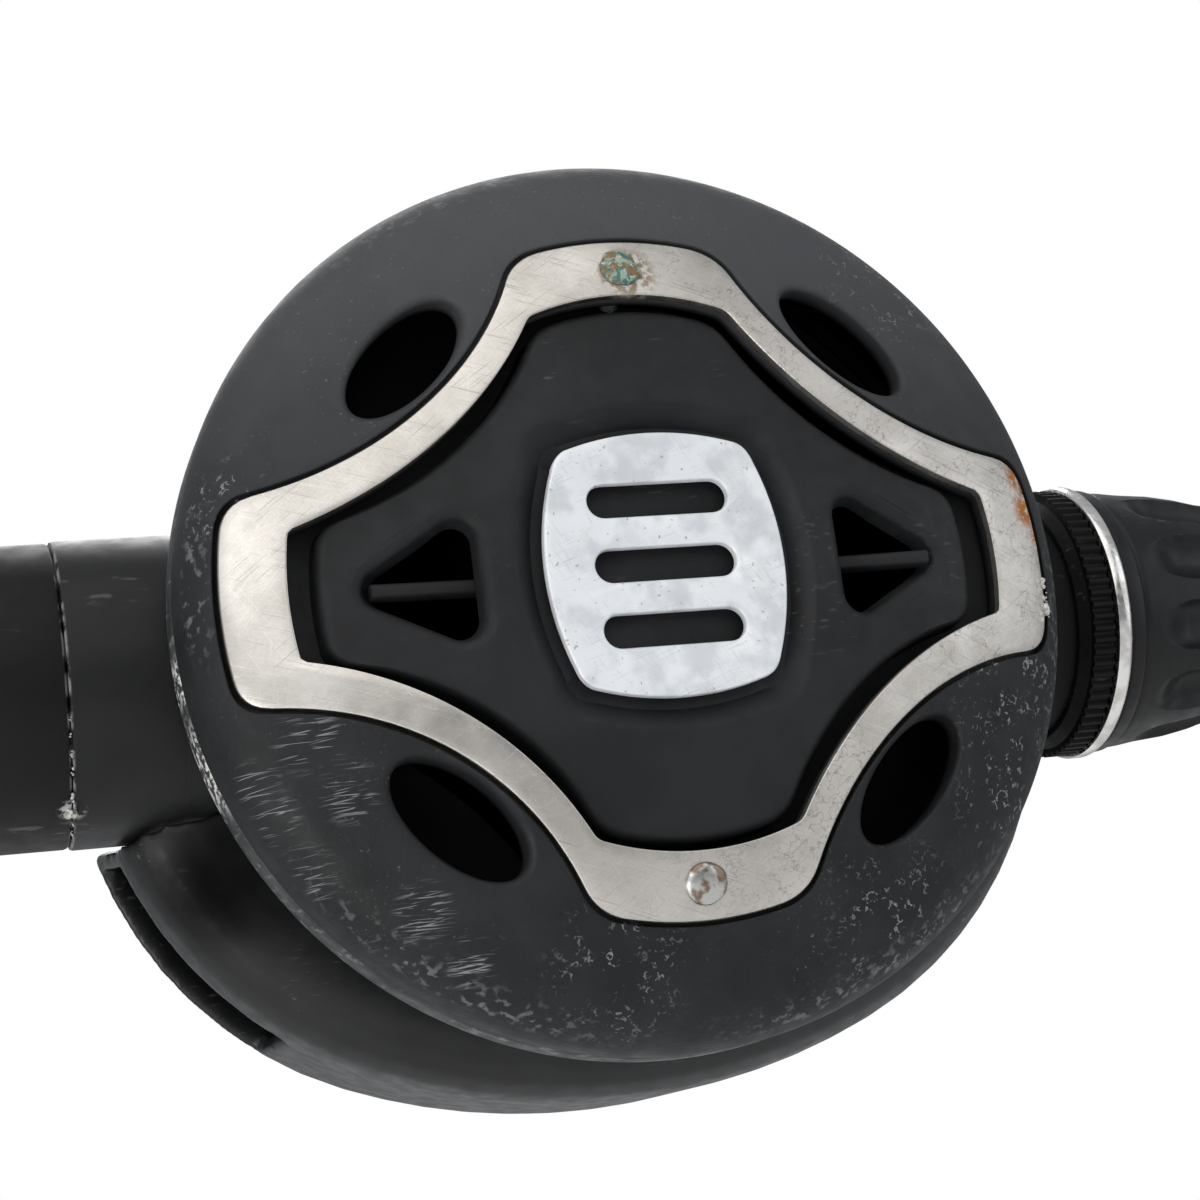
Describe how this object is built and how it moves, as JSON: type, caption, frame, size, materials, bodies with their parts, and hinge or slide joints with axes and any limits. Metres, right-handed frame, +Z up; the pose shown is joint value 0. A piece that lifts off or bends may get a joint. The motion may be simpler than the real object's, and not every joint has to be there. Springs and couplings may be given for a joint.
{
  "type": "scuba regulator second stage",
  "caption": "Breathing valve of a scuba set: round case with a purge button, inlet tube, adjusting knob, exhaust tee and mouthpiece.",
  "frame": {"origin": "midway between the two bite tabs, on the mouthpiece's axis", "axes": "+Z up in use, front cover towards -Y, mouth towards +Y, hose inlet towards -X, adjusting knob towards +X"},
  "size_m": [0.1418, 0.0936, 0.0762],
  "materials": {
    "case_plastic": "satin",
    "cover_plastic": "matte, fine grain",
    "trim_steel": "brushed and scratched",
    "screw_steel": "worn",
    "button_rubber": "matte",
    "emblem_metal": "satin",
    "spring_steel": "drawn wire",
    "membrane": "smooth",
    "disc_plastic": "satin",
    "barrel_chrome": "polished",
    "ring_chrome": "polished",
    "seal_rubber": "smooth",
    "orifice_brass": "turned",
    "poppet_plastic": "satin",
    "seat_rubber": "smooth",
    "lever_steel": "pressed",
    "flow_lever_plastic": "satin",
    "grip_rubber": "satin",
    "tee_rubber": "satin",
    "mouth_rubber": "silicone satin",
    "tie_plastic": "satin",
    "sleeve_rubber": "satin"
  },
  "bodies": {
    "case": {"case_body": "case_plastic", "front_cover": "cover_plastic", "cover_well": "cover_plastic", "trim_plate": "trim_steel", "trim_screws": "screw_steel", "purge_spring": "spring_steel", "diaphragm_ring": "case_plastic", "valve_barrel": "barrel_chrome", "barrel_nut": "barrel_chrome", "barrel_o_rings": "seal_rubber", "orifice": "orifice_brass", "orifice_o_ring": "seal_rubber", "poppet_spring": "spring_steel", "barrel_cap": "barrel_chrome", "exhaust_valve": "membrane", "exhaust_tee": "tee_rubber", "mouthpiece": "mouth_rubber", "mouthpiece_tie": "tie_plastic", "inlet_sleeve": "sleeve_rubber"},
    "purge": {"purge_button": "button_rubber", "emblem_plate": "emblem_metal"},
    "diaphragm": {"diaphragm": "membrane", "diaphragm_disc": "disc_plastic"},
    "lever": {"demand_lever": "lever_steel"},
    "poppet": {"poppet": "poppet_plastic", "poppet_seat": "seat_rubber"},
    "spring_pad": {"balance_chamber": "orifice_brass", "balance_o_ring": "seal_rubber", "adjust_screw": "barrel_chrome"},
    "knob": {"adjust_spindle": "barrel_chrome", "spindle_o_ring": "seal_rubber", "knob_core": "case_plastic", "knob_ring": "ring_chrome", "knob_grip": "grip_rubber", "knob_screw": "screw_steel"},
    "flow_lever": {"venturi_vane": "case_plastic", "venturi_ring": "flow_lever_plastic"}
  },
  "joints": [
    {"name": "purge_press", "type": "slide", "parent": "case", "child": "purge", "axis": [0, 1, 0], "range_m": [0, 0.0026], "stiffness_N_per_m": 1500, "springref_m": -0.001, "deforming": ["purge_spring"]},
    {"name": "diaphragm_flex", "type": "slide", "parent": "case", "child": "diaphragm", "axis": [0, 1, 0], "range_m": [0, 0.0026], "deforming": ["diaphragm"]},
    {"name": "lever_swing", "type": "hinge", "parent": "case", "child": "lever", "pos_m": [-0.015, -0.0563, -0.0039], "axis": [0, 0, 1], "range_deg": [0, 8]},
    {"name": "poppet_slide", "type": "slide", "parent": "case", "child": "poppet", "axis": [1, 0, 0], "range_m": [0, 0.0004], "deforming": ["poppet_spring"]},
    {"name": "knob_turn", "type": "hinge", "parent": "case", "child": "knob", "pos_m": [0.056, -0.059, -0.0039], "axis": [1, 0, 0], "range_deg": [0, 720]},
    {"name": "pad_slide", "type": "slide", "parent": "case", "child": "spring_pad", "axis": [-1, 0, 0], "range_m": [0, 0.0025], "deforming": ["poppet_spring"]},
    {"name": "flow_turn", "type": "hinge", "parent": "case", "child": "flow_lever", "pos_m": [0.044, -0.059, -0.0039], "axis": [1, 0, 0], "range_deg": [0, 60]}
  ],
  "couplings": [
    {"joint": "diaphragm_flex", "follows": "purge_press", "ratio": 1},
    {"joint": "lever_swing", "follows": "purge_press", "rad_per_m": 53},
    {"joint": "poppet_slide", "follows": "purge_press", "ratio": 0.15},
    {"joint": "pad_slide", "follows": "knob_turn", "m_per_rad": 0.0001989}
  ]
}
